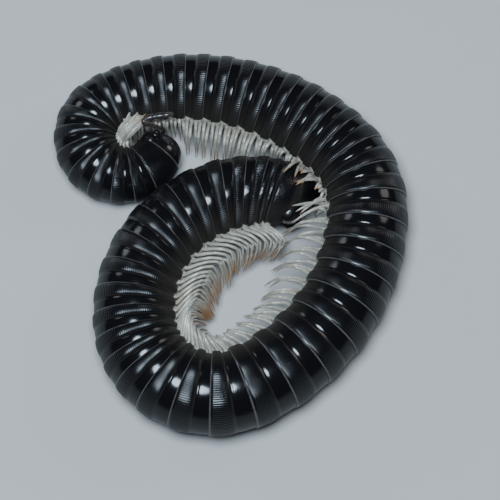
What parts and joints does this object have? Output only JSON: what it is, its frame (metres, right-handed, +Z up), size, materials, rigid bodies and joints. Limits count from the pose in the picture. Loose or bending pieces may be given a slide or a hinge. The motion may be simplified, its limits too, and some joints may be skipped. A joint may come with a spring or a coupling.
{
  "type": "millipede model",
  "caption": "Still life-size model of a white-legged snake millipede, resting curled on its side with the head tucked into the coil and the pale legs along the inner edge.",
  "frame": {"origin": "on the ground under the centre of the bounding box of the coiled animal", "axes": "+Z up; +X to the right and +Y away in the view of the picture, so that the head is at -X and the tail tip points to +X"},
  "size_m": [0.0144, 0.016, 0.0033],
  "materials": {
    "black_cuticle": "glossy black cuticle",
    "brown_cuticle": "satin dark brown cuticle",
    "ocelli": "wet black eye facets"
  },
  "bodies": {
    "root": {"head": "black_cuticle", "eye_left": "ocelli", "eye_right": "ocelli", "antenna_left": "brown_cuticle", "antenna_right": "brown_cuticle", "collum": "black_cuticle", "trunk_01": "black_cuticle", "trunk_02": "black_cuticle", "trunk_03": "black_cuticle", "trunk_04": "black_cuticle", "trunk_05": "black_cuticle", "trunk_06": "black_cuticle", "trunk_07": "black_cuticle", "trunk_08": "black_cuticle", "trunk_09": "black_cuticle", "telson": "black_cuticle"}
  },
  "joints": []
}
